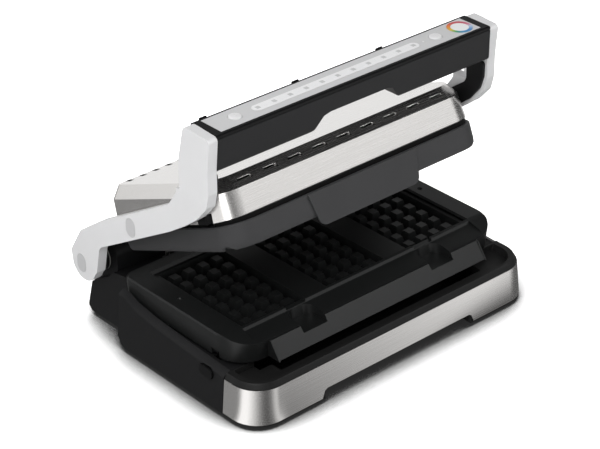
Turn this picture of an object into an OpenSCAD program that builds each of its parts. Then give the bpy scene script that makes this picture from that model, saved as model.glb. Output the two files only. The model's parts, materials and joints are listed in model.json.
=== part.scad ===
// Waffle maker with a floating lid, L-shaped arms and a pull-out drip tray.
// Origin: bottom centre of the bounding box. +Z up, front of the machine toward -Y, millimetres.
// The lid and arms are drawn closed about the hinge axis, then swung up by open_angle.

/* [Base] */
// overall width at the foot of the walls
base_width = 424; // [380:1:460]
// front of the base at the table
front_y = -158; // [-180:1:-140]
// underside of the walls above the table
wall_bottom = 5; // [3:0.5:8]
// inward lean of the walls over the band height
band_draft = 3.1; // [0:0.1:6]
// height of the steel band
band_height = 42.6; // [30:0.1:60]
// plan radius of the front corners
corner_r = 35; // [20:1:50]
// top of the black tray rim
rim_top = 54; // [48:0.5:60]
// seam between the tray front and the side walls
seam_y = -105.2; // [-120:0.1:-90]
// clearance along the seam
seam_gap = 0.4; // [0.3:0.1:1]
// thickness of the side walls at the foot
side_wall = 13; // [8:0.5:20]
// width of the ledge inside the walls
ledge_w = 23; // [15:1:30]
// underside of the ledge
ledge_z = 51; // [45:0.5:54]
// thickness of moulded walls
wall = 3; // [2:0.1:4]
// height of the rubber feet
foot_h = 2.6; // [2:0.1:5]
// radius of the rubber feet
foot_r = 9; // [6:0.5:14]
// top of the bottom pan
pan_top = 4.7; // [4:0.1:6]

/* [Drip tray] */
// front edge of the tray recess
recess_y = -147; // [-152:1:-135]
// half width of the tray recess
recess_half = 197.6; // [180:0.1:202]
// floor of the tray recess
recess_floor = 47; // [40:0.5:50]
// front edge of the drip channel in the recess
channel_y = -132; // [-136:1:-120]
// half width of the drip channel
channel_half = 152; // [100:1:160]
// thickness of the steel fascia
steel_t = 1.2; // [0.8:0.1:2]
// clearance between the rear part of the tray and the ledges
tray_gap = 4; // [2:0.5:10]
// rear end of the tray
tray_rear = 27; // [0:1:60]
// top of the rear part of the tray
tray_top = 30; // [20:1:40]
// half width of the finger notch at its top
notch_half = 108; // [60:1:120]
// top of the finger notch
notch_top = 17; // [10:0.5:18]
// depth of the finger notch under the tray
notch_depth = 22; // [15:1:22]

/* [Lower plate] */
// half width of the plates
plate_half = 198; // [180:1:200]
// front edge of the lower plate
plate_front = -118; // [-130:1:-100]
// rear edge of the lower plate
plate_rear = 79.3; // [60:0.1:80]
// top of the plate rim
plate_top = 88; // [80:1:95]
// underside of the plate skirt
skirt_z = 58; // [50:1:65]
// plan radius of the plate front corners
plate_r = 37; // [20:1:45]
// height of the lands between the waffle fields
land_z = 84; // [80:0.5:88]
// floor of the waffle fields
field_z = 72; // [66:0.5:80]
// height of the front shelf
shelf_z = 80; // [72:0.5:84]
// front of the rim lip
lip_y = -91.5; // [-100:0.5:-85]
// spacing of the waffle fields
field_step = 121.5; // [110:0.5:125]
// width of a waffle field
field_w = 84; // [70:1:100]
// front edge of the waffle fields
field_front = -84; // [-90:1:-70]
// depth of a waffle field
field_d = 139; // [100:1:150]
// pitch of the waffle grid
grid = 20; // [12:0.5:25]
// foot of one waffle stud
stud_foot = 15; // [8:0.5:18]
// top of one waffle stud
stud_tip = 10; // [4:0.5:14]
// height of one waffle stud
stud_h = 10; // [5:0.5:14]
// offset of the pour scoops from the middle
scoop_x = 96; // [70:1:110]
// width of the pour scoops
scoop_w = 37; // [20:0.5:50]
// floor of the pour scoops
scoop_z = 73; // [68:0.5:76]
// half width of the sloping apron under the front edge of the plate
apron_half = 157; // [120:1:160]
// front of the apron at its foot
apron_y = -134; // [-138:0.5:-122]
// height of the apron's foot
apron_z = 60; // [57:0.5:70]

/* [Hinge] */
// hinge axis, distance behind the middle
axis_y = 135; // [120:1:150]
// hinge axis height
axis_z = 84; // [70:1:100]
// how far the lid stands open
open_angle = 23; // [0:1:60]
// half width of the hinge housing
housing_half = 190.5; // [180:0.5:192]
// radius of the hinge tube
tube_r = 15; // [10:0.5:18]
// radius of the hinge bushes
bush_r = 18; // [16:0.5:20]
// top of the hood over the hinge tube
hood_top = 108; // [95:0.5:112]
// running clearance of shafts
run_gap = 0.05; // [0.02:0.01:0.1]

/* [Arms] */
// outer face of the arms
arm_outer = 208; // [200:0.5:212]
// thickness of the silver arms
arm_t = 12; // [8:0.5:14]
// thickness of the black arm covers
cover_t = 4; // [2:0.5:5]
// radius of the arm round the hinge
bulb_r = 21; // [18:0.5:25]
// lid pivot, distance behind the middle
pivot_y = 22; // [0:1:60]
// lid pivot height, closed
pivot_z = 124; // [115:1:140]
// radius of the lid pivot pins
pin_r = 4; // [3:0.1:6]

/* [Handle] */
// front face of the handle
handle_front = -88; // [-100:0.5:-80]
// rear face of the handle
handle_rear = -46; // [-60:0.5:-40]
// underside of the handle
handle_bottom = 281.5; // [270:0.5:290]
// height of the handle shell
handle_h = 36.5; // [30:0.5:45]
// rise of the control panel above the shell
panel_rise = 4.5; // [3:0.1:6]
// half width of the control panel
panel_half = 186; // [150:1:190]
// front edge of the control panel
panel_front = -82.5; // [-86:0.5:-70]
// rear edge of the control panel
panel_rear = -50.2; // [-60:0.1:-48]
// depth of the finger recess
grip_h = 17; // [5:1:22]
// power button position
power_x = -154.5; // [-170:0.5:-140]
// ok button position
ok_x = 132; // [120:1:150]
// radius of the buttons
button_r = 7.5; // [5:0.5:10]
// ring light position
ring_x = 169.5; // [160:0.5:175]
// outer radius of the ring light
ring_r = 14.5; // [8:0.5:15.5]
// programme window, left end
strip_left = -131; // [-140:1:-100]
// programme window, right end
strip_right = 105; // [80:1:115]
// programme window width
strip_w = 13; // [6:0.5:20]

/* [Lid] */
// half width of the lid frame
lid_half = 186; // [180:0.5:190]
// front of the lid frame
lid_front = -125; // [-135:0.5:-115]
// rear of the lid frame
lid_rear = 82; // [75:0.5:90]
// underside of the lid frame
lid_z = 89; // [88.5:0.5:95]
// top of the lid frame
frame_top = 116; // [110:0.5:120]
// underside of the steel cover
cover_z = 121; // [118:0.5:125]
// edge between the cover front and its chamfer
chamfer_z = 149; // [140:0.5:155]
// top of the steel cover
cover_top = 163; // [155:0.5:175]
// half width of the front flap
flap_half = 76; // [60:1:90]
// underside of the front flap
flap_z = 78; // [74:1:88]

/* [Hidden] */
// sub-part to draw, "all" for the whole machine
// every sub-part name
$fn = 48;
hb = base_width / 2;
wall_inner = hb - side_wall;
ledge_inner = wall_inner - ledge_w;
tray_half = ledge_inner - tray_gap;
arm_inner = arm_outer - arm_t;
cover_inner = arm_inner - cover_t;
handle_top = handle_bottom + handle_h;
panel_top = handle_top + panel_rise;
cn = 8;
fit = 0.2;
eps = 0.5;
run_seat = 0.3;
deck_z = 85;
seat_y = [-58, 46];
band_top = wall_bottom + band_height;
lip_top = wall_bottom + 1.3;
cable_r = 3.3;

// ---- helpers ----
function corner(cx, cy, r, a) = [for (i = [0 : cn]) [cx + r * cos(a + 90 * i / cn), cy + r * sin(a + 90 * i / cn)]];
// rounded outline: half width, front, rear, front radius, rear radius
function outline(hw, yf, yr, rf, rr) = concat(
  corner(hw - rf, yf + rf, rf, -90), corner(hw - rr, yr - rr, rr, 0),
  corner(-hw + rr, yr - rr, rr, 90), corner(-hw + rf, yf + rf, rf, 180));
function inset(o, d) = outline(o[0] - d, o[1] + d, o[2] - d, max(o[3] - d, 1), max(o[4] - d, 1));
function full(o) = outline(o[0], o[1], o[2], o[3], o[4]);

// closed body through outlines at rising heights, levels = [[z, points], ...]
module loft(levels) {
  n = len(levels[0][1]);
  m = len(levels);
  polyhedron(points = [for (l = levels) for (p = l[1]) [p[0], p[1], l[0]]],
    faces = concat([[for (i = [0 : n - 1]) i]], [[for (i = [n - 1 : -1 : 0]) (m - 1) * n + i]],
      [for (k = [0 : m - 2]) for (i = [0 : n - 1]) let(j = (i + 1) % n)
        [k * n + i, (k + 1) * n + i, (k + 1) * n + j, k * n + j]]), convexity = 8);
}

// closed body through flat rings of 3-D points, side faces in triangles
module skin(rings) {
  n = len(rings[0]);
  m = len(rings);
  polyhedron(points = [for (r = rings) for (p = r) p],
    faces = concat([[for (i = [0 : n - 1]) i]], [[for (i = [n - 1 : -1 : 0]) (m - 1) * n + i]],
      [for (k = [0 : m - 2]) for (i = [0 : n - 1]) let(j = (i + 1) % n)
        each [[k * n + i, (k + 1) * n + i, (k + 1) * n + j], [k * n + i, (k + 1) * n + j, k * n + j]]]),
    convexity = 8);
}

function unit(v) = v / norm(v);
// polygon with rounded corners, p = [[x, y, r], ...]
function rounded(p, n = 6) = [for (i = [0 : len(p) - 1])
  let(b = [p[i][0], p[i][1]], a0 = p[(i + len(p) - 1) % len(p)], c0 = p[(i + 1) % len(p)],
    u = unit([a0[0], a0[1]] - b), v = unit([c0[0], c0[1]] - b), h = acos(u * v) / 2,
    t = p[i][2] / tan(h), c = b + unit(u + v) * p[i][2] / sin(h), s = b + u * t - c, e = b + v * t - c,
    w = 180 - 2 * h)
  each (p[i][2] < 0.01 || w < 1 ? [b]
    : [for (k = [0 : n]) c + (sin(w * (1 - k / n)) * s + sin(w * k / n) * e) / sin(w)])];

// box from corner to corner
module block(a, b) { translate(a) cube(b - a); }
// side profile in Y, Z drawn from x0 to x1
module side(x0, x1) { translate([x0, 0, 0]) rotate([90, 0, 90]) linear_extrude(x1 - x0) children(); }
// rod along X
module rod(x0, x1, y, z, r) { translate([x0, y, z]) rotate([0, 90, 0]) cylinder(h = x1 - x0, r = r); }
module both() { children(); mirror([1, 0, 0]) children(); }
module opened() {
  translate([0, axis_y, axis_z]) rotate([-open_angle, 0, 0]) translate([0, -axis_y, -axis_z]) children();
}

// ---- base ----
function draft(z) = band_draft * (z - wall_bottom) / band_height;
function band_ring(z, d) = outline(hb - draft(z) - d, front_y + draft(z) + d, seam_y - seam_gap,
  corner_r - d, 1);

pan_front = -154;
pan_half = 205;
foot_y = 135;
foot_x = 168;

module base_pan() color("#1c1c1c") {
  difference() {
    union() {
      translate([0, 0, foot_h]) linear_extrude(pan_top - foot_h) polygon(outline(pan_half, pan_front, 66, 31, 4));
      block([-housing_half + 4, 60, foot_h], [housing_half - 4, 152, pan_top]);
    }
    // open under the finger notch
    block([-notch_half - 6, pan_front - 1, 0], [notch_half + 6, front_y + notch_depth, pan_top + 1]);
    for (x = [-1 : 1]) for (i = [0 : 3]) translate([x * 90 - 27 + i * 18, 92, foot_h - eps])
      block([-4, -12, 0], [4, 12, 4]);
  }
}

module rubber_feet() color("#141414") both() for (y = [-foot_y, foot_y])
  translate([foot_x, y, 0]) cylinder(h = foot_h, r = foot_r);

// side wall cross-section at one distance back: bottom, top of the outer face, crown, inner face
function wall_ring(y, zb, zt) = [[wall_inner, y, zt + 1.5], [hb - draft(zt - 4) - 2.2, y, zt - 1.6],
  [hb - draft(zt - 4), y, zt - 4], [hb - draft(zb), y, zb], [wall_inner, y, zb]];

latch_x = -plate_half + 12;
button_y = -77.3;
button_z = 44;

module base_housing() color("#262626") {
  difference() {
    union() {
      both() {
        skin([wall_ring(seam_y, wall_bottom, 52.7), wall_ring(-75, wall_bottom, 54), wall_ring(-34, wall_bottom, 56.3),
          wall_ring(18, wall_bottom, 60), wall_ring(50, wall_bottom, 65), wall_ring(62, wall_bottom, 70),
          wall_ring(69, 8, 71.5), wall_ring(75, 17, 72)]);
        block([ledge_inner, seam_y, ledge_z], [wall_inner + eps, 62, ledge_z + wall]);
        block([ledge_inner, seam_y, pan_top], [ledge_inner + wall, 62, ledge_z + eps]);
        // plate seats
        for (y = seat_y) translate([wall_inner - 14.5, y, ledge_z + 1]) cylinder(h = deck_z - run_seat - ledge_z - 1, r = 4);
      }
      // rear wall under the deck
      block([-wall_inner - 1, 60, pan_top], [wall_inner + 1, 66, 54]);
    }
    // pocket for the release button, stem hole and latch slot
    translate([-hb - 1, button_y, button_z]) rotate([0, 90, 0]) linear_extrude(8.2) oval(11.8, 6.8);
    rod(-hb + 6, -wall_inner + 1, button_y, button_z, 3);
    block([latch_x - 8, button_y - 6, ledge_z - eps], [latch_x + 4, button_y + 6, ledge_z + wall + eps]);
  }
}
// long round outline along Y, half length and half width
module oval(hl, hw) { square([2 * hw, 2 * (hl - hw)], center = true); for (s = [-1, 1]) translate([0, s * (hl - hw)]) circle(hw); }

// side profile of the rear housing, stepped under the rear rim of the plate, and its hollow
rear_y = plate_rear + 0.6;
step_z = skirt_z - run_gap - 0.4;
hh = [[69.5, 5, 0], [150, 5, 0], [156, 11, 4], [147, 46, 6], [129, 58, 8], [115, 66, 5], [106, 75, 6],
  [93, 78, 5], [rear_y, 79.3, 1], [rear_y, step_z, 0], [69.5, step_z, 0]];
hi = [[72.5, 8, 0], [147, 8, 0], [152, 14, 3], [144, 44, 5], [127, 55.5, 6], [113, 63.5, 4], [104.5, 72, 4],
  [92, 75, 4], [rear_y + wall, 76, 0], [rear_y + wall, step_z - wall, 0], [72.5, step_z - wall, 0]];
// barrel-shaped hood over the hinge tube
hood_rear = axis_y + tube_r + wall + 1;
module hood_side(d) polygon(rounded([[104.5 + d, 62, 0], [104.5 + d, hood_top - d, 16 - d],
  [hood_rear - d, hood_top - d, 20 - d], [hood_rear - d, 52, 0], [hood_rear - 6 - d, 40, 0]]));
ear_w = 12;
ear_x = housing_half - 5.5 - ear_w;

module hinge_housing() color("#222222") {
  difference() {
    union() {
      side(-housing_half, housing_half) polygon(rounded(hh));
      side(-ear_x - ear_w, ear_x + ear_w) hood_side(0);
    }
    side(-housing_half + wall, housing_half - wall) polygon(rounded(hi));
    side(-ear_x, ear_x) hood_side(wall);
    both() rod(ear_x - 1, ear_x + ear_w + 1, axis_y, axis_z, bush_r + run_gap);
    // room for the collars outside the hood
    both() rod(ear_x + ear_w, housing_half + 1, axis_y, axis_z, bulb_r + 2);
    // cord gland hole at the back
    translate([-140, 140, 26]) rotate([-90, 0, 0]) cylinder(h = 30, r = 7.1);
    // open underside over the pan
    block([-150, 80, 4], [150, 140, 9]);
  }
}

// slotted upright spring tabs on the rear housing, behind the closed lid
module plate_clips() color("#8f9193") both() translate([128, 0, 0]) difference() {
  union() {
    block([-4.5, 84, 79.1], [4.5, 85.2, 93]);
    side(-4.5, 4.5) polygon([[84, 79.1], [84, 80.3], [91, 79.5], [91, 78.3]]);
  }
  block([-1, 83, 82], [1, 86, 91]);
}

module hinge_bushes() color("#8a8a86") both() difference() {
  rod(ear_x - 1, ear_x + ear_w + 1, axis_y, axis_z, bush_r);
  rod(ear_x - 2, ear_x + ear_w + 2, axis_y, axis_z, tube_r + run_gap);
}

module cord_inlet() color("#101010") translate([-140, 0, 26]) difference() {
  union() {
    translate([0, 143, 0]) rotate([-90, 0, 0]) cylinder(h = 15, r = 7);
    translate([0, 140, 0]) rotate([-90, 0, 0]) cylinder(h = 3.2, r = 9.5);
  }
  translate([0, 139, 0]) rotate([-90, 0, 0]) cylinder(h = 20, r = cable_r);
}

module power_board() color("#2f6b3a") {
  block([-100, 84, 18], [60, 130, 19.6]);
  for (x = [-80, 40]) translate([x, 106, pan_top]) cylinder(h = 18 - pan_top, r = 3);
  translate([-40, 106, 19.6]) cylinder(h = 14, r = 9);
  block([-5, 94, 19.6], [30, 120, 36]);
}

module base_screws() color("#9a9a9a") both() for (p = [[150, -112], [182, 40], [150, 146]])
  translate([p[0], p[1], foot_h - 1.2]) { cylinder(h = 1.2, r = 3.5); }

refl_z = ledge_z + wall;
module lower_reflector() color("#b9bcbd") difference() {
  union() {
    block([-ledge_inner - 3.5, -96, refl_z], [ledge_inner + 3.5, 56, refl_z + 0.8]);
    for (s = [-1, 1]) translate([0, s * 76 - 20, refl_z]) block([-165, -1, 0], [165, 0, 4]);
  }
  translate([0, -20, refl_z - eps]) cylinder(h = 3, r = 7);
}

heater_z = 64.6;
// U-shaped heater from straight rods and ball corners
module heater(z) {
  hx = 150;
  for (y = [-78, 50]) rod(-hx, hx, y, z, cable_r);
  translate([-hx, 50, z]) rotate([90, 0, 0]) cylinder(h = 128, r = cable_r);
  for (y = [-78, 50]) translate([-hx, y, z]) sphere(cable_r);
  for (y = [-78, 50]) translate([hx, y, z]) sphere(cable_r);
}
module lower_heater() color("#5c5a56") heater(heater_z);
module clips(z0, z1, z) {
  for (y = [-78, 50]) for (x = [-60, 60]) translate([x, y, 0]) difference() {
    block([-5, -5, z0], [5, 5, z1]);
    rod(-6, 6, 0, z, cable_r + run_gap);
  }
}
module lower_heater_clips() color("#c0c2c2") clips(refl_z + 0.8, heater_z + 1.5, heater_z);
module lower_sensor() color("#d8d4c8") {
  translate([0, -20, refl_z - 6]) cylinder(h = 67 - refl_z + 6, r = 6);
  translate([0, -20, refl_z + 0.8]) cylinder(h = 1.5, r = 10);
}

// ---- drip tray ----
module tray_body() color("#232323") difference() {
  union() {
    loft([[wall_bottom, band_ring(wall_bottom, 0.2)], [lip_top - 0.1, band_ring(lip_top, 0.2)],
      [lip_top, band_ring(lip_top, steel_t + fit)], [band_top, band_ring(band_top, steel_t + fit)],
      [band_top + 0.2, band_ring(band_top, 0.6)], [rim_top - 1.5, band_ring(rim_top, 2.4)], [rim_top, band_ring(rim_top, 4)]]);
    block([-tray_half, seam_y - 5, wall_bottom], [tray_half, tray_rear, tray_top]);
  }
  loft([[recess_floor, outline(recess_half - 3, recess_y + 3, seam_y - 3, 25, 2)], [rim_top + 1, outline(recess_half, recess_y, seam_y - 3, 27, 2)]]);
  block([-tray_half + wall, seam_y - 6, wall_bottom + wall], [tray_half - wall, tray_rear - wall, 70]);
  // drip channel under the front edge of the plate, open to the rear part
  block([-channel_half, channel_y, wall_bottom + wall], [channel_half, seam_y + 1, 70]);
  block([-tray_half + wall, seam_y - 12, wall_bottom + wall], [tray_half - wall, seam_y, 70]);
  // hollow underside of the shelf and of its ends
  difference() {
    translate([0, 0, wall_bottom - 1]) linear_extrude(recess_floor - wall - wall_bottom + 1)
      polygon(outline(hb - 8, front_y + 8, seam_y - 5, corner_r - 8, 1));
    block([-channel_half - wall, channel_y - wall, 0], [channel_half + wall, seam_y, recess_floor]);
    block([-tray_half, seam_y - 15, 0], [tray_half, seam_y, recess_floor]);
  }
  block([-notch_half - 3, front_y - 2, 0], [notch_half + 3, front_y + notch_depth, notch_top - 1.5]);
}

module tray_fascia() color("#c9cacb") difference() {
  loft([[lip_top + 0.1, band_ring(lip_top, 0)], [band_top, band_ring(band_top, 0)]]);
  loft([[wall_bottom - 1, outline(hb - steel_t, front_y + steel_t, seam_y + 9, corner_r - steel_t, 1)],
    [wall_bottom, outline(hb - steel_t, front_y + steel_t, seam_y + 9, corner_r - steel_t, 1)],
    [band_top, outline(hb - band_draft - steel_t, front_y + band_draft + steel_t, seam_y + 9, corner_r - steel_t, 1)],
    [band_top + 1, outline(hb - band_draft - steel_t, front_y + band_draft + steel_t, seam_y + 9, corner_r - steel_t, 1)]]);
  translate([0, front_y + 12, 0]) rotate([90, 0, 0]) linear_extrude(20)
    polygon([[-notch_half - 9, 3], [notch_half + 9, 3], [notch_half + 7, 8], [notch_half + 4, notch_top - 2],
      [notch_half, notch_top], [-notch_half, notch_top], [-notch_half - 4, notch_top - 2], [-notch_half - 7, 8]]);
}

// ---- lower release ----
module lower_release_button() color("#101010") {
  translate([-hb + 0.6, button_y, button_z]) rotate([0, 90, 0]) linear_extrude(3) oval(11.3, 6.3);
  rod(-hb + 3, latch_x - 2.5, button_y, button_z, 2.6);
}
module lower_latch() color("#9a9c9e") {
  block([latch_x - 2.4, button_y - 5, button_z - 4], [latch_x, button_y + 5, 66.5]);
  block([latch_x - 9.6, button_y - 4, 62.2], [latch_x - 2, button_y + 4, 64.6]);
}

// ---- waffle plates ----
module stud(x, y, z, h) translate([x, y, z]) rotate(45)
  hull() cylinder(h = h, r1 = stud_foot / sqrt(2), r2 = stud_tip / sqrt(2), $fn = 4);
// grid of studs over three fields; h below zero hangs the studs
module studs(z, h) for (f = [-1 : 1]) for (i = [0 : 3]) for (j = [0 : 6])
  stud(f * field_step + (i - 1.5) * grid, field_front + field_d / 2 + (j - 3) * grid - 0.5, z, h);
module fields(z0, z1, grow) for (f = [-1 : 1])
  hull() {
    block([f * field_step - field_w / 2 - grow, field_front - grow, z0], [f * field_step + field_w / 2 + grow, field_front + field_d + grow, z0 + 0.1]);
    block([f * field_step - field_w / 2 - grow - 1.5, field_front - grow - 1.5, z1 - 0.1], [f * field_step + field_w / 2 + grow + 1.5, field_front + field_d + grow + 1.5, z1]);
  }

lower_rim = [plate_half, plate_front, plate_rear, plate_r, 12];
// outer face of the apron at a height, and where its inner face meets the skirt
function apron(z) = apron_y + (plate_front - 1.5 - apron_y) * (z - apron_z) / (shelf_z - apron_z);
apron_in = shelf_z - 4;
module lower_plate() color("#2a2b2c") {
  difference() {
    union() {
      difference() {
        loft([[skirt_z, inset(lower_rim, 2)], [shelf_z - 2, inset(lower_rim, 0.3)], [shelf_z, full(lower_rim)],
          [plate_top - 2, full(lower_rim)], [plate_top, inset(lower_rim, 1.6)]]);
        // hollow underside
        loft([[skirt_z - 1, inset(lower_rim, 5)], [85, inset(lower_rim, wall + 0.5)]]);
      }
      intersection() {
        loft([[skirt_z, inset(lower_rim, 2.5)], [85.5, inset(lower_rim, 2)]]);
        union() {
          fields(field_z - wall, 85.4, wall);
          block([-170, field_front - 8, 81], [170, 62, 85.4]);
          // solid front apron with the scoop floors
          block([-plate_half, plate_front - 1, 75.5], [plate_half, lip_y + 6, 85.4]);
          both() block([scoop_x - scoop_w / 2 - wall, plate_front - 1, scoop_z - wall], [scoop_x + scoop_w / 2 + wall, lip_y + 6, 85.4]);
          // latch lug
          block([-plate_half + 3.5, button_y - 10, skirt_z + 0.2], [-plate_half + 6.5, button_y + 10, 66.5]);
        }
      }
      // sloping apron, solid around the scoops, with a fin at each end
      side(-apron_half, apron_half) polygon([[plate_front + 1, shelf_z - 0.6], [apron(shelf_z - 0.6), shelf_z - 0.6],
        [apron_y, apron_z + 1], [apron_y + 0.6, apron_z], [apron_y + wall, apron_z], [plate_front + 1, apron_in]]);
      both() side(scoop_x - scoop_w / 2 - wall, scoop_x + scoop_w / 2 + wall) polygon([[plate_front + 1, shelf_z - 0.6],
        [apron(shelf_z - 0.6), shelf_z - 0.6], [apron(scoop_z - wall), scoop_z - wall], [plate_front + 1, scoop_z - wall]]);
      both() side(apron_half - 1.6, apron_half) polygon([[plate_front + 1, shelf_z - 1], [apron(shelf_z - 1) - 1.2, shelf_z - 1],
        [apron_y - 1.2, apron_z], [plate_front + 1, apron_z]]);
    }
    // basin inside the rim lip
    hull() {
      block([-171, -87, land_z], [171, 61, land_z + 0.1]);
      block([-173, -88.5, plate_top + 1], [173, 63, plate_top + 1.1]);
    }
    fields(field_z, land_z + 0.3, 0);
    // top falls to the front, with a step below the lip
    side(-plate_half - 2, plate_half + 2) polygon([[lip_y + 4, plate_top + 4], [lip_y + 4, plate_top + 0.01], [lip_y - 3, plate_top - 0.9],
      [plate_front + 4, shelf_z + 1.2], [plate_front, shelf_z], [plate_front - 5, shelf_z - 1.4], [plate_front - 5, plate_top + 4]]);
    side(-171, 171) polygon([[lip_y, plate_top + 4], [lip_y, plate_top], [lip_y - 2, shelf_z + 4.4],
      [plate_front + 4, shelf_z + 1.2], [plate_front, shelf_z], [plate_front - 5, shelf_z - 1.4], [plate_front - 5, plate_top + 4]]);
    // pour scoops with a round back, open to the front
    both() translate([scoop_x, 0, 0]) loft([[scoop_z, outline(scoop_w / 2 - 1.5, plate_front - 12, lip_y - 5, 1, 11)],
      [plate_top + 2, outline(scoop_w / 2, plate_front - 12, lip_y - 1.5, 1, 13)]]);
    // lip notches, side dimples, window for the latch nose
    both() block([scoop_x - 14, lip_y - 3, land_z + 1], [scoop_x + 14, -86, plate_top + 2]);
    both() translate([plate_half - 16, -1, plate_top]) sphere(3.2);
    block([-plate_half - 2, button_y - 6, skirt_z - 1], [-plate_half + 8, button_y + 6, 65.6]);
  }
  studs(field_z - 0.1, stud_h);
}

// the upper plate hangs in the lid, closed a hair above the lower one
upper_z = 89.3;
upper_floor = 101;
upper_rim = [lid_half - 5.5, lid_front + 5.5, lid_rear - 5.5, plate_r - 5, 12];
module upper_plate() color("#2a2b2c") opened() {
  difference() {
    union() {
      difference() {
        loft([[upper_z, inset(upper_rim, 1.2)], [upper_z + 1.5, full(upper_rim)], [110, full(upper_rim)]]);
        loft([[upper_z + wall, inset(upper_rim, wall)], [111, inset(upper_rim, wall)]]);
      }
      intersection() {
        loft([[upper_z + 1, inset(upper_rim, 2)], [109, inset(upper_rim, 2)]]);
        fields_down(upper_floor + wall, upper_z + 1, wall);
      }
    }
    fields_down(upper_floor, upper_z - 0.5, 0);
    block([-upper_rim[0] - 2.5, -94.6, 102.4], [-upper_rim[0] + 4.5, -82.6, 111]);
  }
  mirror([0, 0, 1]) studs(-upper_floor - 0.1, stud_h);
}
// upside-down field pockets from the mouth z0 up to the floor z1
module fields_down(z1, z0, grow) for (f = [-1 : 1])
  hull() {
    block([f * field_step - field_w / 2 - grow, field_front - grow, z1 - 0.1], [f * field_step + field_w / 2 + grow, field_front + field_d + grow, z1]);
    block([f * field_step - field_w / 2 - grow - 1.5, field_front - grow - 1.5, z0], [f * field_step + field_w / 2 + grow + 1.5, field_front + field_d + grow + 1.5, z0 + 0.1]);
  }

// ---- arms ----
arm_pts = [[-127.5, 233, 7], [-164, 215, 5], [-146, 180, 8], [-137, 158, 8], [-127, 144, 8], [-105, 133, 10],
  [-80, 126, 10], [-50, 120, 10], [11, 112, 30], [96, 100, 14], [116.5, 70, 4], [137, 60.4, 12], [158, 73, 12], [156, 98, 12],
  [124, 121, 14], [80, 131, 30], [-4, 142, 30], [-62, 150, 12], [-82, 163, 10], [-102, 197, 10]];
module arm_side() { polygon(rounded(arm_pts, 5)); translate([axis_y + 2.7, axis_z - 2.6]) circle(bulb_r); }
module arm_shell() side(arm_inner, arm_outer) arm_side();
module left_arm() color("#d2d2d2") mirror([1, 0, 0]) arm_half();
module right_arm() color("#d2d2d2") arm_half();
module arm_half() difference() {
  opened() difference() {
    arm_shell();
    rod(arm_inner - 1, arm_outer - 3, axis_y, axis_z, tube_r + fit);
    rod(arm_inner - 1, arm_outer - 3, pivot_y, pivot_z, 6 + fit);
  }
  // the upright part narrows towards the grip
  translate([arm_inner, grip_rear, 247]) rotate([0, 0, 56]) block([-6, 0, 0], [40, 30, handle_bottom - 247]);
  // shallow cap seats in the outer face
  cap(axis_y + 5.5, axis_z - 4.5, fit, 2);
  cap(pivot_rest[0], pivot_rest[1], fit, 2);
}
// upright oval cap in the outer face of an arm
module cap(y, z, grow, h) translate([arm_outer - 1, y, z]) rotate([90, 0, 90]) linear_extrude(h) oval(11.2 + grow, 7.8 + grow);
// lid pivot as it stands with the lid open
pivot_rest = [axis_y + (pivot_y - axis_y) * cos(open_angle) + (pivot_z - axis_z) * sin(open_angle),
  axis_z - (pivot_y - axis_y) * sin(open_angle) + (pivot_z - axis_z) * cos(open_angle)];
cover_pts = [[-142, 178, 4], [-134, 160, 8], [-124, 148, 8], [-104, 137, 10], [-80, 130, 10], [-50, 124, 10], [11, 116, 30],
  [98, 104, 10], [118, 76, 3], [136, 65, 10], [153, 76, 10], [151, 98, 10], [123, 118, 12], [80, 127.5, 30], [-4, 138, 30], [-60, 147.5, 14],
  [-80, 152, 8], [-107, 158.5, 12], [-116, 182, 4]];
// rear face of the inner covers beside the grip, with the lid open
grip_rear = -57.5;
module cover_half() difference() {
  side(cover_inner, arm_inner - 0.1) polygon(rounded(cover_pts, 5));
  rod(cover_inner - 1, arm_inner + 1, axis_y, axis_z, tube_r + fit);
  rod(cover_inner - 1, arm_inner + 1, pivot_y, pivot_z, 6 + fit);
}
module left_arm_cover() color("#242424") opened() mirror([1, 0, 0]) cover_half();
module right_arm_cover() color("#242424") opened() cover_half();

module hinge_tube() color("#1a1a1a") difference() {
  rod(-arm_outer + 3.1, arm_outer - 3.1, axis_y, axis_z, tube_r);
  rod(-arm_outer, arm_outer, axis_y, axis_z, tube_r - 2.5);
}
module hinge_collars() color("#202020") both() difference() {
  rod(ear_x + ear_w + 1.4, cover_inner - 0.3, axis_y, axis_z, bush_r + 0.5);
  rod(ear_x + ear_w, cover_inner, axis_y, axis_z, tube_r + run_gap);
}
module hinge_caps() color("#bdbdbd") both() cap(axis_y + 5.5, axis_z - 4.5, 0, 1.2);
module lid_pivot_pins() color("#a5a8aa") opened() both() {
  rod(lid_half - 15, arm_outer - 3.1, pivot_y, pivot_z, pin_r);
  rod(cover_inner - 0.2, arm_outer - 3.1, pivot_y, pivot_z, 6);
}
module lid_pivot_caps() color("#bdbdbd") both() cap(pivot_rest[0], pivot_rest[1], 0, 1.2);

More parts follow.
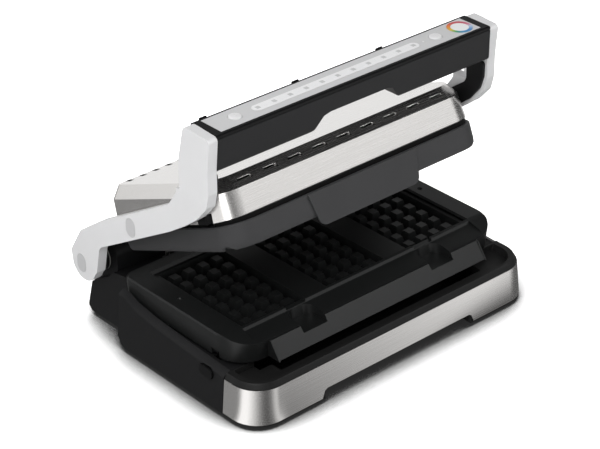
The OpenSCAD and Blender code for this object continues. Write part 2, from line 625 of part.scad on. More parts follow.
// ---- handle, drawn as it stands in the open pose ----
handle_half = arm_inner - 0.1;
board_z = handle_top - 4.4;
cavity_z = handle_top - 15;
module handle_body() color("#2b2b2b") difference() {
  side(-handle_half, handle_half) polygon(rounded([[handle_front, handle_bottom, 5], [handle_rear, handle_bottom, 5],
    [handle_rear, handle_top, 0], [handle_front, handle_top, 0]]));
  // finger recess in the underside
  translate([0, handle_rear + 1, 0]) rotate([90, 0, 0]) linear_extrude(handle_rear - handle_front + 2)
    polygon(rounded([[-76, handle_bottom - 2, 0], [-74, handle_bottom, 3], [-66, handle_bottom + 2, 6], [-52, handle_bottom + grip_h - 2, 6], [-42, handle_bottom + grip_h, 8],
      [40, handle_bottom + grip_h, 8], [47, handle_bottom + grip_h - 2, 4], [56, handle_bottom + 2, 4], [64, handle_bottom, 3], [66, handle_bottom - 2, 0]], 5));
  // hollow for the display board
  block([-handle_half + 8, handle_front + wall, cavity_z], [handle_half - 8, handle_rear - wall, handle_top + 1]);
  for (s = [-1, 1]) block([s * 130 - 50, handle_front + wall, handle_bottom + wall], [s * 130 + 50, handle_rear - wall, cavity_z + 1]);
}
module panel_hole(grow) block([-panel_half - grow, panel_front - grow, handle_top - 3], [panel_half + grow, panel_rear + grow, panel_top + 2]);
module handle_bezel() color("#1d1d1d") difference() {
  union() {
    side(-handle_half, handle_half) polygon(rounded([[handle_front + 0.5, handle_top + 0.2, 0], [handle_rear - 0.5, handle_top + 0.2, 0],
      [handle_rear, panel_top - 1, 2], [handle_rear - 2, panel_top, 1], [handle_front + 2, panel_top, 1], [handle_front, panel_top - 1, 1]]));
    // seam strips along the rear edge
    for (x = [-180, -55, 66]) block([x - 4.5, handle_rear - 1, panel_top - 3], [x + 4.5, handle_rear + 0.8, panel_top + 0.6]);
  }
  panel_hole(fit);
}
py = (panel_front + panel_rear) / 2;
module slot2d(x0, x1, w) { translate([x0 + w / 2, -w / 2]) square([x1 - x0 - w, w]); translate([x0 + w / 2, 0]) circle(w / 2); translate([x1 - w / 2, 0]) circle(w / 2); }
module control_panel() color("#c8c8c8") difference() {
  block([-panel_half, panel_front, handle_top + 0.5], [panel_half, panel_rear, panel_top]);
  for (x = [power_x, ok_x]) translate([x, py, handle_top]) cylinder(h = 9, r = button_r + 0.3);
  translate([ring_x, py, handle_top]) cylinder(h = 9, r = ring_r + fit);
  translate([0, py, panel_top - 1.2]) linear_extrude(4) slot2d(strip_left, strip_right, strip_w);
  translate([109 + 4, py, handle_top]) cylinder(h = 9, r = 1.2 + fit);
}
module program_strip() color("#f4f4f2") translate([0, py, panel_top - 1.1]) linear_extrude(1.3) slot2d(strip_left + fit, strip_right - fit, strip_w - 2 * fit);
module ring_indicator() color("#e8b030") translate([ring_x, py, handle_top + 0.4]) difference() {
  cylinder(h = panel_top - handle_top - 0.2, r = ring_r);
  translate([0, 0, -1]) cylinder(h = 9, r = ring_r - 4);
}
module ring_lens() color("#f6f6f6") translate([ring_x, py, handle_top + 0.4]) cylinder(h = panel_top - handle_top - 0.4, r = ring_r - 4 - fit);
module status_lamp() color("#f0f0f0") translate([113, py, handle_top + 0.4]) cylinder(h = panel_top - handle_top - 0.3, r = 1.2);
module display_board() color("#2f6b3a") {
  block([-handle_half + 16, handle_front + wall + 1, board_z], [handle_half - 16, handle_rear - wall - 1, board_z + 1.6]);
  for (x = [-70, -60, 60, 70]) translate([x, py, cavity_z + 0.1]) cylinder(h = board_z - cavity_z, r = 2.5);
  for (x = [power_x, ok_x]) block([x - 3, py - 3, board_z + 1.6], [x + 3, py + 3, board_z + 3]);
  for (x = [-120 : 40 : 80]) block([x - 2, py - 2, board_z + 1.6], [x + 2, py + 2, board_z + 2.8]);
  block([20, py - 8, board_z - 2.6], [44, py + 8, board_z]);
}
module button(x) translate([x, py, 0]) {
  translate([0, 0, handle_top]) cylinder(h = panel_rise + 0.5, r = button_r);
}
module power_button() color("#dcdcdc") button(power_x);
module ok_button() color("#dcdcdc") button(ok_x);

// ---- lid ----
frame_o = [lid_half, lid_front, lid_rear, plate_r, 16];
module lid_frame() color("#4a4a4a") opened() difference() {
  loft([[lid_z, inset(frame_o, 2.5)], [lid_z + 3, inset(frame_o, 0.6)], [lid_z + 8, full(frame_o)], [frame_top - 1.5, full(frame_o)], [frame_top, inset(frame_o, 1.2)]]);
  loft([[lid_z - 1, inset(frame_o, 4.6)], [frame_top - wall, inset(frame_o, 4.6)]]);
  block([-160, -98, frame_top - 5], [160, 56, frame_top + 1]);
  // thumb notch, latch slot
  translate([-lid_half + 1, -104, lid_z - 1]) rotate([0, 90, 0]) cylinder(h = 30, r = 6, center = true);
  block([-lid_half + 5, -94, frame_top - 5], [-lid_half + 15.5, -83, frame_top + 1]);
}
module lid_flap() color("#4a4a4a") opened() translate([0, lid_front - 0.1, 0]) rotate([90, 0, 0]) linear_extrude(2.4)
  polygon(rounded([[-flap_half - 4, frame_top - 0.5, 0], [-flap_half + 4, flap_z, 10], [flap_half - 4, flap_z, 10], [flap_half + 4, frame_top - 0.5, 0]]));
module lid_spacer() color("#0c0c0c") opened() difference() {
  translate([0, 0, frame_top + 0.1]) linear_extrude(cover_z - frame_top - 0.2) polygon(inset(frame_o, 4));
  translate([0, 0, frame_top - 1]) linear_extrude(9) polygon(inset(frame_o, 10));
  both() block([lid_half - 12, pivot_y - 9, frame_top + 3], [lid_half + 4, pivot_y + 9, cover_z + 1]);
  // passage for the upper latch
  block([-lid_half - 2, -94, frame_top - 2], [-lid_half + 14, -83, cover_z + 1]);
}
c_low = [lid_half + 3, lid_front + 7.6, lid_rear - 2, 36, 9];
c_mid = [lid_half + 1, lid_front + 10, lid_rear - 3, 35, 9];
c_top = [lid_half - 8, lid_front + 21, lid_rear - 9, 26, 7];
module lid_cover() color("#cfd0d1") opened() difference() {
  loft([[cover_z, full(c_low)], [chamfer_z, full(c_mid)], [cover_top, full(c_top)]]);
  loft([[cover_z - 1, inset(c_low, steel_t)], [cover_z, inset(c_low, steel_t)], [chamfer_z, inset(c_mid, steel_t)],
    [cover_top - steel_t, inset(c_top, steel_t)]]);
  // louvre slots in the front chamfer
  for (i = [-4 : 4]) translate([i * 35, (c_mid[1] + c_top[1]) / 2, (chamfer_z + cover_top) / 2]) {
    block([-9.5, -3.5, -0.9], [9.5, 3.5, 0.9]);
    block([7.5, -3.5, -2.6], [9.5, 3.5, 0]);
  }
  // short slots along the rear edge of the top
  for (i = [-9 : 9]) block([i * 18.2 - 3.2, c_top[2] - 11, cover_top - 2.5], [i * 18.2 + 3.2, c_top[2] - 1, cover_top + 1]);
  both() side(lid_half - 6, lid_half + 6) polygon(rounded([[pivot_y - 8, cover_z - 2, 0], [pivot_y + 8, cover_z - 2, 0],
    [pivot_y + 8, pivot_z + 8, 6], [pivot_y - 8, pivot_z + 8, 6]]));
  block([-lid_half - 6, -98, cover_z - 2], [-lid_half + 6, -79, 131.6]);
}
upper_heater_z = 107.6;
module upper_reflector() color("#b9bcbd") opened() difference() {
  union() {
    block([-lid_half + 18, -106, 112], [lid_half - 18, 64, 112.8]);
    for (y = [-70, 40]) block([-150, y, 112.7], [150, y + 1, 119]);
  }
  translate([0, -20, 111]) cylinder(h = 3, r = 7);
}
module upper_heater() color("#5c5a56") opened() heater(upper_heater_z);
module upper_heater_clips() color("#c0c2c2") opened() clips(upper_heater_z - 1.5, 111.9, upper_heater_z);
module upper_sensor() color("#d8d4c8") opened() {
  translate([0, -20, 104.2]) cylinder(h = 14, r = 6);
  translate([0, -20, 112.9]) cylinder(h = 1.5, r = 10);
}
module pivot_brackets() color("#a5a8aa") opened() both() {
  difference() {
    union() { block([lid_half - 14, pivot_y - 12, frame_top + 0.1], [lid_half - 10, pivot_y + 12, pivot_z]); rod(lid_half - 14, lid_half - 10, pivot_y, pivot_z, 7.5); }
    rod(lid_half - 15, lid_half - 9, pivot_y, pivot_z, pin_r + run_gap);
  }
  block([lid_half - 25, pivot_y - 12, frame_top + 0.1], [lid_half - 13.9, pivot_y + 12, frame_top + 2.1]);
}
module lid_screws() color("#9a9a9a") opened() both() {
  for (y = [pivot_y - 7, pivot_y + 7]) translate([lid_half - 20, y, frame_top + 2.2]) cylinder(h = 2.4, r = 3);
  for (y = [-80, 62]) translate([lid_half - 20, y, frame_top + 0.1]) cylinder(h = 2.4, r = 3);
}
module upper_release_button() color("#141414") opened() {
  block([-lid_half - 5.4, -97, cover_z + 0.4], [-lid_half + 4, -80, 131]);
}
module upper_latch() color("#9a9c9e") opened() {
  block([-lid_half + 4, -92, 122.4], [-lid_half + 12, -85, 124.4]);
  block([-lid_half + 9.6, -92, 103.2], [-lid_half + 12, -85, 124]);
  block([-lid_half + 5.7, -92, 103.2], [-lid_half + 11.5, -85, 105.4]);
}

base_pan();
base_housing();
hinge_housing();
rubber_feet();
base_screws();
lower_reflector();
lower_heater();
lower_heater_clips();
lower_sensor();
power_board();
cord_inlet();
plate_clips();
hinge_bushes();
tray_body();
tray_fascia();
lower_release_button();
lower_latch();
lower_plate();
left_arm();
right_arm();
left_arm_cover();
right_arm_cover();
hinge_tube();
hinge_collars();
hinge_caps();
lid_pivot_pins();
lid_pivot_caps();
handle_body();
handle_bezel();
control_panel();
program_strip();
ring_indicator();
ring_lens();
status_lamp();
display_board();
power_button();
ok_button();
lid_cover();
lid_frame();
lid_flap();
lid_spacer();
upper_reflector();
upper_heater();
upper_heater_clips();
upper_sensor();
pivot_brackets();
lid_screws();
upper_release_button();
upper_latch();
upper_plate();
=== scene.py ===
import json
import math

import bpy
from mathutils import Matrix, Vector

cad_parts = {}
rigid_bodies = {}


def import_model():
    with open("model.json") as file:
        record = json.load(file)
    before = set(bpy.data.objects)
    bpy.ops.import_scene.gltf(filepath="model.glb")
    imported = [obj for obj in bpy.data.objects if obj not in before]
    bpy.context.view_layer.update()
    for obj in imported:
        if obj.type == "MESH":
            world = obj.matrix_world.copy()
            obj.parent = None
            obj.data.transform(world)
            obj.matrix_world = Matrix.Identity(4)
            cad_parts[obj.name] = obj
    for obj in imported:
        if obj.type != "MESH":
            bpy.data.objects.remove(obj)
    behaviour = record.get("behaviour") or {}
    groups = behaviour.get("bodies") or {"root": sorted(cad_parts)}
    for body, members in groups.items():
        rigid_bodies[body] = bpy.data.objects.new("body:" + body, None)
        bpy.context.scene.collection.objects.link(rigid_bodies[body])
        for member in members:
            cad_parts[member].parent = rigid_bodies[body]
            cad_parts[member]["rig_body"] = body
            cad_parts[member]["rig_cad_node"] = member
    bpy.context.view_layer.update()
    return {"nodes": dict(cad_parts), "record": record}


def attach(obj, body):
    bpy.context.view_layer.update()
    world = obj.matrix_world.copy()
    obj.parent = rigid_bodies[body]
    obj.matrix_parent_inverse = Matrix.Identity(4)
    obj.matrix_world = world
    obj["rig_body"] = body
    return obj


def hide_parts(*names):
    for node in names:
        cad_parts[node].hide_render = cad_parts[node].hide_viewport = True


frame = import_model()

MM = 0.001
NODES = frame["nodes"]
BODY = {node: body for body, members in frame["record"]["behaviour"]["bodies"].items() for node in members}

# ---------------------------------------------------------------- shader helpers


def srgb(hex_colour):
    """Linear RGBA of an sRGB hex value."""
    out = []
    for k in (1, 3, 5):
        c = int(hex_colour[k:k + 2], 16) / 255
        out.append(c / 12.92 if c <= 0.04045 else ((c + 0.055) / 1.055) ** 2.4)
    return (*out, 1.0)


def add(tree, kind, **settings):
    """Adds one shader node. Names in small letters are its own settings, in0 and in1 are inputs by number,
    and the rest are inputs by name. A socket given as a value is linked to the input."""
    node = tree.nodes.new("ShaderNode" + kind)
    for key, value in settings.items():
        if key[:2] == "in" and key[2:].isdigit():
            socket = node.inputs[int(key[2:])]
        elif key[0].islower():
            setattr(node, key, value)
            continue
        else:
            socket = node.inputs[key.replace("_", " ")]
        if isinstance(value, bpy.types.NodeSocket):
            tree.links.new(value, socket)
        else:
            socket.default_value = value
    return node


def set_ramp(node, stops):
    """Grey or coloured stops of a Color Ramp, at their positions."""
    ramp = node.color_ramp
    while len(ramp.elements) < len(stops):
        ramp.elements.new(1.0)
    for element, (position, value) in zip(ramp.elements, stops):
        element.position = position
        element.color = srgb(value) if isinstance(value, str) else (value, value, value, 1.0)


def blank(name):
    """A new material with an empty node tree."""
    material = bpy.data.materials.new(name)
    material.use_nodes = True
    material.node_tree.nodes.clear()
    return material, material.node_tree


def finish(material, shader):
    """Wires the shader to the material's output."""
    add(material.node_tree, "OutputMaterial", Surface=shader.outputs[0])
    return material


def bearing_of(tree, x, y):
    """The direction of (x, y) as a share of a full turn, 0 and 1 at -X and 0.5 at +X."""
    bearing = add(tree, "Math", operation="ARCTAN2", in0=y, in1=x)
    return add(tree, "MapRange", Value=bearing.outputs[0], From_Min=-math.pi, From_Max=math.pi).outputs[0]


# ---------------------------------------------------------------- materials

# size of the soft cloudiness that keeps a large surface from looking flat
CLOUD_MM = 60


def moulded(name, colour, rough, grain_mm=0.5, depth_mm=0.02, spec=0.5, mottling=0.06):
    """A moulded or sprayed surface with a fine even grain, as spark erosion leaves on a mould: the grain
    breaks up its soft sheen."""
    material, tree = blank(name)
    at = add(tree, "TexCoord").outputs["Object"]
    grain = add(tree, "TexNoise", Vector=at, Scale=1 / (grain_mm * MM), Detail=2.0, Roughness=0.6)
    cloud = add(tree, "TexNoise", Vector=at, Scale=1 / (CLOUD_MM * MM), Detail=3.0, Roughness=0.5)
    tone = add(tree, "MapRange", Value=cloud.outputs["Fac"], From_Min=0.3, From_Max=0.7,
               To_Min=1 - mottling, To_Max=1 + mottling)
    tint = add(tree, "VectorMath", operation="SCALE", in0=srgb(colour)[:3], Scale=tone.outputs[0])
    worn = add(tree, "MapRange", Value=grain.outputs["Fac"], From_Min=0.3, From_Max=0.7,
               To_Min=rough - 0.05, To_Max=rough + 0.05)
    bump = add(tree, "Bump", Height=grain.outputs["Fac"], Strength=0.35, Distance=depth_mm * MM)
    shader = add(tree, "BsdfPrincipled", Base_Color=tint.outputs[0], Roughness=worn.outputs[0],
                 Normal=bump.outputs[0], IOR=1.53, Specular_IOR_Level=spec)
    return finish(material, shader)


def brushed(name, colour, rough, along, streak_mm=0.35, length_mm=90.0, depth_mm=0.006):
    """Metal brushed along one axis (0 is X, 1 is Y): fine parallel scratches that stretch each highlight.
    They are drawn coarser than the real ones, which are too fine to show."""
    material, tree = blank(name)
    at = add(tree, "TexCoord").outputs["Object"]
    scale = [1 / (streak_mm * MM)] * 3
    scale[along] = 1 / (length_mm * MM)
    drawn = add(tree, "Mapping", vector_type="POINT", Vector=at, Scale=scale)
    streak = add(tree, "TexNoise", Vector=drawn.outputs[0], Scale=1.0, Detail=2.0, Roughness=0.55)
    worn = add(tree, "MapRange", Value=streak.outputs["Fac"], From_Min=0.25, From_Max=0.75,
               To_Min=rough - 0.07, To_Max=rough + 0.08)
    tone = add(tree, "MapRange", Value=streak.outputs["Fac"], From_Min=0.25, From_Max=0.75,
               To_Min=0.93, To_Max=1.05)
    tint = add(tree, "VectorMath", operation="SCALE", in0=srgb(colour)[:3], Scale=tone.outputs[0])
    bump = add(tree, "Bump", Height=streak.outputs["Fac"], Strength=0.3, Distance=depth_mm * MM)
    shader = add(tree, "BsdfPrincipled", Base_Color=tint.outputs[0], Roughness=worn.outputs[0],
                 Normal=bump.outputs[0], Metallic=1.0)
    return finish(material, shader)


# black ABS and polypropylene mouldings: near black, with a dull sheen that differs from part to part
WALL_BLACK = moulded("wall_black_abs", "#181819", 0.5, spec=0.12)
TRAY_BLACK = moulded("tray_black_pp", "#1b1b1b", 0.48, spec=0.14)
HOUSING_BLACK = moulded("housing_black_abs", "#151516", 0.46, spec=0.12)
HANDLE_BLACK = moulded("handle_black_abs", "#242425", 0.42, grain_mm=0.4, depth_mm=0.01, spec=0.12)
# smoother black ABS round the panel and on the release keys: reads as a clean dark line
BEZEL_BLACK = moulded("bezel_satin_abs", "#0e0e0f", 0.4, depth_mm=0.003, spec=0.1)
# glass-filled PPS of the hot lid frame: a mid grey with a slightly coarser grain
LID_GREY = moulded("lid_grey_pps", "#3c3c3d", 0.5, grain_mm=0.6, spec=0.15)
# painted shade: the near-black ring under the lid's steel cover stands in for the shadow gap there; moulded
# rubber: matt and almost black
PAINTED_GAP_SHADE = moulded("painted_gap_shade", "#070707", 0.7, spec=0.1)
RUBBER = moulded("foot_rubber", "#121212", 0.75, grain_mm=0.8, depth_mm=0.04, spec=0.2)
# silver-lacquered ABS: pale, even, with a fine sprayed grain
SILVER = moulded("silver_lacquered_abs", "#d8d8d9", 0.36, grain_mm=0.35, depth_mm=0.004, mottling=0.02)
CAP_SILVER = moulded("cap_silver_abs", "#bcbcbd", 0.4, grain_mm=0.35, depth_mm=0.004, mottling=0.02)
PANEL = moulded("panel_satin_silver", "#c8c8c9", 0.4, spec=0.3, grain_mm=0.35, depth_mm=0.004, mottling=0.02)
KEY_SILVER = moulded("key_satin_silver", "#dcdcdd", 0.3, spec=0.3, grain_mm=0.35, depth_mm=0.003, mottling=0.01)
# white polycarbonate window with grey printed marks: smooth and bright
WINDOW = moulded("window_white_pc", "#e9e9ea", 0.3, spec=0.3, depth_mm=0.001, mottling=0.01)
ICON = moulded("icon_grey_ink", "#c2c2c3", 0.5)
# stainless steel, brushed from side to side, and a lighter copy of it on the rolled louvre edges, a painted
# highlight
STEEL = brushed("brushed_stainless", "#dddbd9", 0.24, 0)
LIP_PAINTED_HIGHLIGHT = brushed("lip_stainless_painted_highlight", "#efeeec", 0.3, 0)
# rolled sheet, spring steel and oxidised heater tube of the inner parts: duller and darker
SHEET = brushed("aluminised_sheet", "#9c9c9a", 0.4, 1)
SPRING = brushed("blued_spring_steel", "#2b2b2c", 0.4, 1)
HEATER = brushed("heater_oxidised_steel", "#5b5751", 0.5, 0, length_mm=20)
# sprayed PTFE on cast aluminium: black with a faint pebbled glint
NONSTICK = moulded("nonstick_ptfe_coating", "#151616", 0.36, grain_mm=0.45, depth_mm=0.02, mottling=0.08,
                   spec=0.3)
# fired ceramic, natural acetal and green solder mask
CERAMIC = moulded("sensor_ceramic", "#d8d3c6", 0.6)
ACETAL = moulded("bush_acetal", "#8c8c88", 0.45)
BOARD = moulded("board_solder_mask", "#1f5a33", 0.3)

# centres along X of the ring and the two keys, the panel's middle line and its top
RING_X, POWER_X, OK_X = 169.5 * MM, -154.5 * MM, 132 * MM
PANEL_Y, PANEL_Z = -66.35 * MM, 322.5 * MM

# painted glow of the lamps: hues round the ring, by share of a turn from -X
RING_HUES = [(0.0, "#c9c438"), (0.07, "#3f9a55"), (0.16, "#1f86b8"), (0.3, "#2f7fc0"), (0.42, "#a9c3dc"),
             (0.5, "#c86a86"), (0.62, "#b8304a"), (0.76, "#c63b3c"), (0.87, "#e07a28"), (1.0, "#d9b52c")]


def lit_ring(name, centre):
    """Frosted polycarbonate light guide over coloured lamps, whose glow is painted into its colour: the hue
    runs round the ring.
    """
    material, tree = blank(name)
    at = add(tree, "VectorMath", operation="SUBTRACT", in0=add(tree, "TexCoord").outputs["Object"], in1=centre)
    across = add(tree, "SeparateXYZ", Vector=at.outputs[0])
    hue = add(tree, "ValToRGB", Fac=bearing_of(tree, across.outputs["X"], across.outputs["Y"]))
    set_ramp(hue, RING_HUES)
    grain = add(tree, "TexNoise", Vector=at.outputs[0], Scale=1 / (0.4 * MM))
    bump = add(tree, "Bump", Height=grain.outputs["Fac"], Strength=0.3, Distance=0.01 * MM)
    shader = add(tree, "BsdfPrincipled", Base_Color=hue.outputs[0], Roughness=0.35, Normal=bump.outputs[0],
                 IOR=1.58)
    return finish(material, shader)


RING = lit_ring("ring_frosted_pc", (RING_X, PANEL_Y, 0))

FINISH = {
    "base_housing": WALL_BLACK, "base_pan": TRAY_BLACK, "hinge_housing": HOUSING_BLACK,
    "rubber_feet": RUBBER, "base_screws": SHEET, "lower_reflector": SHEET, "lower_heater": HEATER,
    "lower_heater_clips": SHEET, "lower_sensor": CERAMIC, "power_board": BOARD, "cord_inlet": TRAY_BLACK,
    "hinge_bushes": ACETAL, "tray_body": TRAY_BLACK, "tray_fascia": STEEL,
    "lower_release_button": BEZEL_BLACK, "lower_latch": SPRING, "lower_plate": NONSTICK,
    "left_arm": SILVER, "right_arm": SILVER, "left_arm_cover": HOUSING_BLACK,
    "right_arm_cover": HOUSING_BLACK, "hinge_tube": HOUSING_BLACK, "hinge_collars": HOUSING_BLACK,
    "hinge_caps": CAP_SILVER, "lid_pivot_pins": SHEET, "lid_pivot_caps": CAP_SILVER,
    "handle_body": HANDLE_BLACK, "handle_bezel": BEZEL_BLACK, "control_panel": PANEL,
    "program_strip": WINDOW, "ring_indicator": RING, "ring_lens": WINDOW, "status_lamp": WINDOW,
    "display_board": BOARD, "power_button": KEY_SILVER, "ok_button": KEY_SILVER, "lid_cover": STEEL,
    "lid_frame": LID_GREY, "lid_flap": LID_GREY, "lid_spacer": PAINTED_GAP_SHADE, "upper_reflector": SHEET,
    "upper_heater": HEATER, "upper_heater_clips": SHEET, "upper_sensor": CERAMIC, "pivot_brackets": SHEET,
    "plate_clips": SHEET, "lid_screws": SHEET, "upper_release_button": BEZEL_BLACK, "upper_latch": SHEET,
    "upper_plate": NONSTICK,
}


def dress(piece, material):
    """Gives a piece one material."""
    piece.data.materials.clear()
    piece.data.materials.append(material)


for name, material in FINISH.items():
    dress(NODES[name], material)

# ---------------------------------------------------------------- eased copies of the moulded parts

# edges sharper than the first angle are rounded, and those below the second are shaded smooth
EDGE_ANGLE = math.radians(28)
SMOOTH_ANGLE = math.radians(32)
# triangles that lie this close to flat become one face
FLAT_ANGLE = math.radians(0.6)
MERGE_DISTANCE = 0.01 * MM


def only(piece):
    """Selects one piece and makes it active."""
    for other in bpy.context.selected_objects:
        other.select_set(False)
    piece.select_set(True)
    bpy.context.view_layer.objects.active = piece


def eased(name, width_mm, new_name):
    """The node's own solid with its sharp edges rounded, as the mould rounds them."""
    piece = NODES[name].copy()
    piece.data = NODES[name].data.copy()
    piece.name = new_name
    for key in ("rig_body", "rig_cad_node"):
        if key in piece:
            del piece[key]
    piece.parent = None
    bpy.context.scene.collection.objects.link(piece)
    only(piece)
    if piece.data.has_custom_normals:
        bpy.ops.mesh.customdata_custom_splitnormals_clear()
    bpy.ops.object.mode_set(mode="EDIT")
    bpy.ops.mesh.select_all(action="SELECT")
    bpy.ops.mesh.remove_doubles(threshold=MERGE_DISTANCE)
    bpy.ops.mesh.dissolve_limited(angle_limit=FLAT_ANGLE)
    bpy.ops.object.mode_set(mode="OBJECT")
    bevel = piece.modifiers.new("eased", "BEVEL")
    bevel.width = width_mm * MM
    bevel.segments = 2
    bevel.limit_method = "ANGLE"
    bevel.angle_limit = EDGE_ANGLE
    bevel.use_clamp_overlap = True
    bpy.ops.object.modifier_apply(modifier="eased")
    bpy.ops.object.shade_smooth_by_angle(angle=SMOOTH_ANGLE)
    flats = piece.modifiers.new("flats", "WEIGHTED_NORMAL")
    flats.keep_sharp = True
    bpy.ops.object.modifier_apply(modifier="flats")
    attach(piece, BODY[name])
    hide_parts(name)
    dress(piece, FINISH[name])


# node, width of its rounded edges in mm, and the name of the piece
EASE = (
    ("base_housing", 1.0, "side_walls"), ("hinge_housing", 0.8, "hinge_cover"), ("tray_body", 0.8, "drip_tray"),
    ("tray_fascia", 0.25, "steel_fascia"), ("lower_plate", 0.7, "lower_waffle_plate"),
    ("upper_plate", 0.7, "upper_waffle_plate"), ("left_arm", 2.2, "left_silver_arm"),
    ("right_arm", 2.2, "right_silver_arm"), ("left_arm_cover", 0.8, "left_inner_cover"),
    ("right_arm_cover", 0.8, "right_inner_cover"), ("handle_body", 0.8, "handle_shell"),
    ("handle_bezel", 0.3, "handle_top_frame"), ("lid_cover", 0.5, "lid_steel_cover"),
    ("lid_frame", 0.8, "lid_skirt"), ("lid_flap", 0.7, "lid_front_flap"), ("plate_clips", 0.15, "rim_clips"),
    ("lower_release_button", 0.8, "lower_release_key"), ("upper_release_button", 0.9, "upper_release_key"),
    ("power_button", 0.5, "power_key"), ("ok_button", 0.5, "ok_key"), ("control_panel", 0.2, "control_plate"),
    ("hinge_collars", 0.6, "hinge_rings"), ("hinge_caps", 0.2, "hinge_cap_discs"),
    ("lid_pivot_caps", 0.2, "pivot_cap_discs"), ("base_pan", 0.4, "bottom_pan"),
)
for name, width, new_name in EASE:
    eased(name, width, new_name)

# ---------------------------------------------------------------- small pieces on the panel and the lid


def settle(piece, new_name, material, carrier):
    """Names a piece, puts its place into its mesh, and hands it to the body of its carrier node."""
    piece.name = new_name
    only(piece)
    bpy.ops.object.transform_apply(location=True, rotation=True, scale=True)
    bpy.ops.object.shade_smooth_by_angle(angle=SMOOTH_ANGLE)
    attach(piece, BODY[carrier])
    dress(piece, material)


def bar(centre, size, turn=(0, 0, 0), edge_mm=0.2):
    """A bar with rounded edges at a place, for small trim."""
    bpy.ops.object.select_all(action="DESELECT")
    bpy.ops.mesh.primitive_cube_add(size=1, location=centre, rotation=turn)
    piece = bpy.context.object
    piece.scale = size
    bpy.ops.object.transform_apply(location=False, rotation=False, scale=True)
    edge = piece.modifiers.new("edge", "BEVEL")
    edge.width = edge_mm * MM
    edge.segments = 2
    bpy.ops.object.modifier_apply(modifier="edge")
    return piece


def joined(pieces):
    """Several pieces as one."""
    bpy.ops.object.select_all(action="DESELECT")
    for piece in pieces:
        piece.select_set(True)
    bpy.context.view_layer.objects.active = pieces[0]
    bpy.ops.object.join()
    return bpy.context.object


# hinge axis in mm, and how far the lid stands open
AXIS_Y, AXIS_Z = 135, 84
OPEN = math.radians(23)


def opened(y, z):
    """A point of the closed lid in mm, at its place with the lid open, in metres."""
    dy, dz = y - AXIS_Y, z - AXIS_Z
    return ((AXIS_Y + dy * math.cos(OPEN) + dz * math.sin(OPEN)) * MM,
            (AXIS_Z - dy * math.sin(OPEN) + dz * math.cos(OPEN)) * MM)


# a rolled lip along the upper edge of each of nine louvre slots, with a short hook at its right end; the lips
# are painted lighter than the cover's steel as a highlight
CHAMFER_RISE, CHAMFER_RUN = 14, 11
CHAMFER_TILT = math.atan2(CHAMFER_RISE, CHAMFER_RUN) - OPEN
LOUVRE_PITCH = 35 * MM
LIP_X, HOOK_X, HOOK_TURN = -1.5 * MM, 7.4 * MM, math.radians(40)
LIP_SIZE, HOOK_SIZE = (15 * MM, 0.9 * MM, 1.0 * MM), (3.4 * MM, 0.9 * MM, 1.0 * MM)
lip_place, hook_place = opened(-109.2, 157.3), opened(-110.2, 156.1)
lips = []
for k in range(-4, 5):
    lips.append(bar((k * LOUVRE_PITCH + LIP_X, *lip_place), LIP_SIZE, (CHAMFER_TILT, 0, 0)))
    lips.append(bar((k * LOUVRE_PITCH + HOOK_X, *hook_place), HOOK_SIZE, (CHAMFER_TILT, HOOK_TURN, 0)))
settle(joined(lips), "louvre_lips", LIP_PAINTED_HIGHLIGHT, "lid_cover")

# each key is crowned, so that it catches the light on one side
CROWN_R, CROWN_FLATNESS, CROWN_LIFT = 7.0 * MM, 0.2, 0.45 * MM
for name, x, new_name in (("power_button", POWER_X, "power_key_crown"), ("ok_button", OK_X, "ok_key_crown")):
    bpy.ops.object.select_all(action="DESELECT")
    bpy.ops.mesh.primitive_uv_sphere_add(segments=48, ring_count=24, radius=CROWN_R,
                                         location=(x, PANEL_Y, PANEL_Z + CROWN_LIFT))
    crown = bpy.context.object
    crown.scale = (1, 1, CROWN_FLATNESS)
    settle(crown, new_name, KEY_SILVER, name)

# plain square marks along the programme window
MARKS, FIRST_MARK, MARK_PITCH, MARK_LIFT = 11, -124 * MM, 22.2 * MM, 0.12 * MM
MARK_SIZE = (5.2 * MM, 5.2 * MM, 0.3 * MM)
marks = [bar((FIRST_MARK + k * MARK_PITCH, PANEL_Y, PANEL_Z + MARK_LIFT), MARK_SIZE, edge_mm=0.1)
         for k in range(MARKS)]
settle(joined(marks), "window_marks", ICON, "program_strip")

# ---------------------------------------------------------------- floor

# how far the painted contact shadow reaches in metres, and the strength of the white paper's glow
CONTACT_REACH, PAPER_GLOW = 0.06, 0.95
# painted reflection: glossy rays see light and dark bands painted on the floor, laid round the bend of the
# front left corner
CORNER_X, CORNER_Y = -0.18, -0.125
PAINTED_REFLECTION_LEVEL = 4.5
# how bright the painted bands are, by share of a turn from -X; the darkest one lies to the right
PAINTED_REFLECTION_BANDS = [(0.0, 1.0), (0.055, 1.0), (0.105, 0.6), (0.145, 0.3), (0.18, 0.13), (0.211, 0.09), (0.25, 0.18),
         (0.28, 0.5), (0.3, 0.6), (0.32, 0.3), (0.336, 0.222), (0.462, 0.222), (0.478, 0.03), (0.52, 0.03),
         (0.54, 0.222), (0.965, 0.222), (0.99, 0.6), (1.0, 0.9)]

bpy.ops.object.select_all(action="DESELECT")
bpy.ops.mesh.primitive_plane_add(size=12, location=(0, 0, 0))
floor = bpy.context.object
floor.name = "floor"
white, tree = blank("floor_white")
# white paper to the camera, with a painted contact shadow that deepens where the object stands close over it
near = add(tree, "AmbientOcclusion", samples=12, Distance=CONTACT_REACH)
painted_contact_shadow = add(tree, "MapRange", Value=near.outputs["AO"], From_Min=0.5, From_Max=0.92, To_Min=0.02, To_Max=1.0)
tone = add(tree, "CombineXYZ", X=painted_contact_shadow.outputs[0], Y=painted_contact_shadow.outputs[0], Z=painted_contact_shadow.outputs[0])
paper = add(tree, "BsdfDiffuse", Color=tone.outputs[0])
glow = add(tree, "Emission", Color=tone.outputs[0], Strength=PAPER_GLOW)
lit = add(tree, "AddShader", in0=paper.outputs[0], in1=glow.outputs[0])
# plain paper to all other light
plain = add(tree, "BsdfDiffuse", Color=(0.8, 0.8, 0.8, 1))
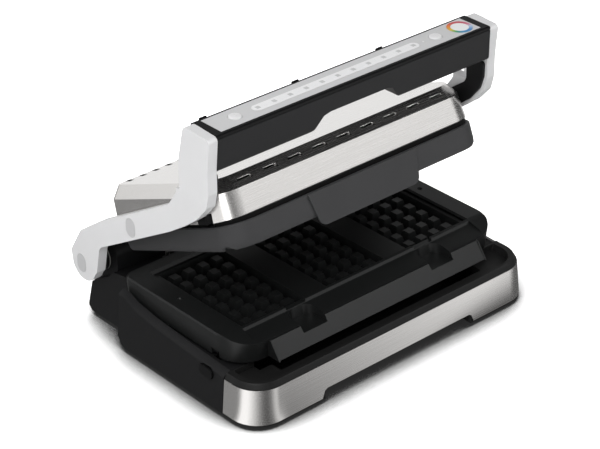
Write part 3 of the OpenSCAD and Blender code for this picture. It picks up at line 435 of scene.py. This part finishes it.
# painted reflection: to glossy rays it falls off to the left, with the painted bands laid on it
where = add(tree, "SeparateXYZ", Vector=add(tree, "TexCoord").outputs["Object"])
painted_falloff = add(tree, "MapRange", Value=where.outputs["X"], From_Min=-0.14, From_Max=0.2, To_Min=0.3, To_Max=1.0)
from_x = add(tree, "Math", operation="SUBTRACT", in0=where.outputs["X"], in1=CORNER_X)
from_y = add(tree, "Math", operation="SUBTRACT", in0=where.outputs["Y"], in1=CORNER_Y)
painted_bands = add(tree, "ValToRGB", Fac=bearing_of(tree, from_x.outputs[0], from_y.outputs[0]))
set_ramp(painted_bands, PAINTED_REFLECTION_BANDS)
level = add(tree, "Math", operation="MULTIPLY", in0=painted_bands.outputs[0], in1=PAINTED_REFLECTION_LEVEL)
shaded = add(tree, "Math", operation="MULTIPLY", in0=painted_falloff.outputs[0], in1=level.outputs[0])
painted_reflection = add(tree, "Emission", Color=(1, 1, 1, 1), Strength=shaded.outputs[0])
seen = add(tree, "LightPath")
shown = add(tree, "MixShader", Fac=seen.outputs["Is Camera Ray"], in1=plain.outputs[0], in2=lit.outputs[0])
both = add(tree, "MixShader", Fac=seen.outputs["Is Glossy Ray"], in1=shown.outputs[0], in2=painted_reflection.outputs[0])
finish(white, both)
dress(floor, white)

# ---------------------------------------------------------------- studio

# the room is bright at the horizon and dark overhead, by the height of the direction looked in
ROOM = [(0.3, 1.0), (0.44, 0.07), (0.8, 0.1)]
# two dark cards at the horizon draw the upright lines on the corners of the steel
DARK_CARDS = ((-0.242, -0.97, 0), (0.97, -0.242, 0))

world = bpy.data.worlds.new("studio")
bpy.context.scene.world = world
world.use_nodes = True
sky = world.node_tree
sky.nodes.clear()
way = add(sky, "TexCoord").outputs["Generated"]
ramp = add(sky, "ValToRGB", Fac=add(sky, "SeparateXYZ", Vector=way).outputs["Z"])
set_ramp(ramp, ROOM)
dark = []
for away in DARK_CARDS:
    facing = add(sky, "VectorMath", operation="DOT_PRODUCT", in0=way, in1=away)
    card = add(sky, "MapRange", Value=facing.outputs["Value"], From_Min=0.9, From_Max=0.97, To_Min=1.0,
               To_Max=0.05)
    dark.append(card.outputs[0])
shade = add(sky, "Math", operation="MULTIPLY", in0=dark[0], in1=dark[1])
room = add(sky, "Background", Color=ramp.outputs[0], Strength=shade.outputs[0])
bright = add(sky, "Background", Color=(1, 1, 1, 1), Strength=1.0)
seen = add(sky, "LightPath")
pick = add(sky, "MixShader", Fac=seen.outputs["Is Camera Ray"], in1=room.outputs[0], in2=bright.outputs[0])
add(sky, "OutputWorld", Surface=pick.outputs[0])


def softbox(name, place, aim_z, size, power):
    """A rectangular lamp that faces a point above the middle of the floor."""
    lamp = bpy.data.lights.new(name, "AREA")
    lamp.shape = "RECTANGLE"
    lamp.size, lamp.size_y = size
    lamp.energy = power
    thing = bpy.data.objects.new(name, lamp)
    thing.location = place
    thing.rotation_euler = (Vector((0, 0, aim_z)) - Vector(place)).to_track_quat("-Z", "Y").to_euler()
    bpy.context.scene.collection.objects.link(thing)


# name, place in metres, height of the point it faces, size in metres, power in watts
for lamp_facts in (
    ("key_softbox", (-1.5, -0.9, 2.1), 0.1, (1.4, 1.4), 43),
    ("front_softbox", (1.35, -1.35, 1.55), 0.15, (1.0, 0.6), 13),
    ("rear_softbox", (-0.9, 1.7, 1.7), 0.15, (1.6, 1.0), 15),
    ("fill_softbox", (-1.5, -1.7, 1.0), 0.12, (0.7, 0.7), 5),
):
    softbox(*lamp_facts)

# camera: front left, from above
AZIMUTH, ELEVATION = math.radians(-41.96), math.radians(29.96)
CAMERA_PLACE = (-1.3553, -1.5000, 1.2742)
LENS_MM, SENSOR_MM = 124.64, 36.0
back = Vector((math.sin(AZIMUTH) * math.cos(ELEVATION), -math.cos(AZIMUTH) * math.cos(ELEVATION),
               math.sin(ELEVATION)))
camera_data = bpy.data.cameras.new("camera")
camera_data.lens = LENS_MM
camera_data.sensor_width = SENSOR_MM
camera = bpy.data.objects.new("camera", camera_data)
camera.location = CAMERA_PLACE
camera.rotation_euler = back.to_track_quat("Z", "Y").to_euler()
bpy.context.scene.collection.objects.link(camera)
bpy.context.scene.camera = camera
bpy.context.scene.view_settings.view_transform = "Standard"
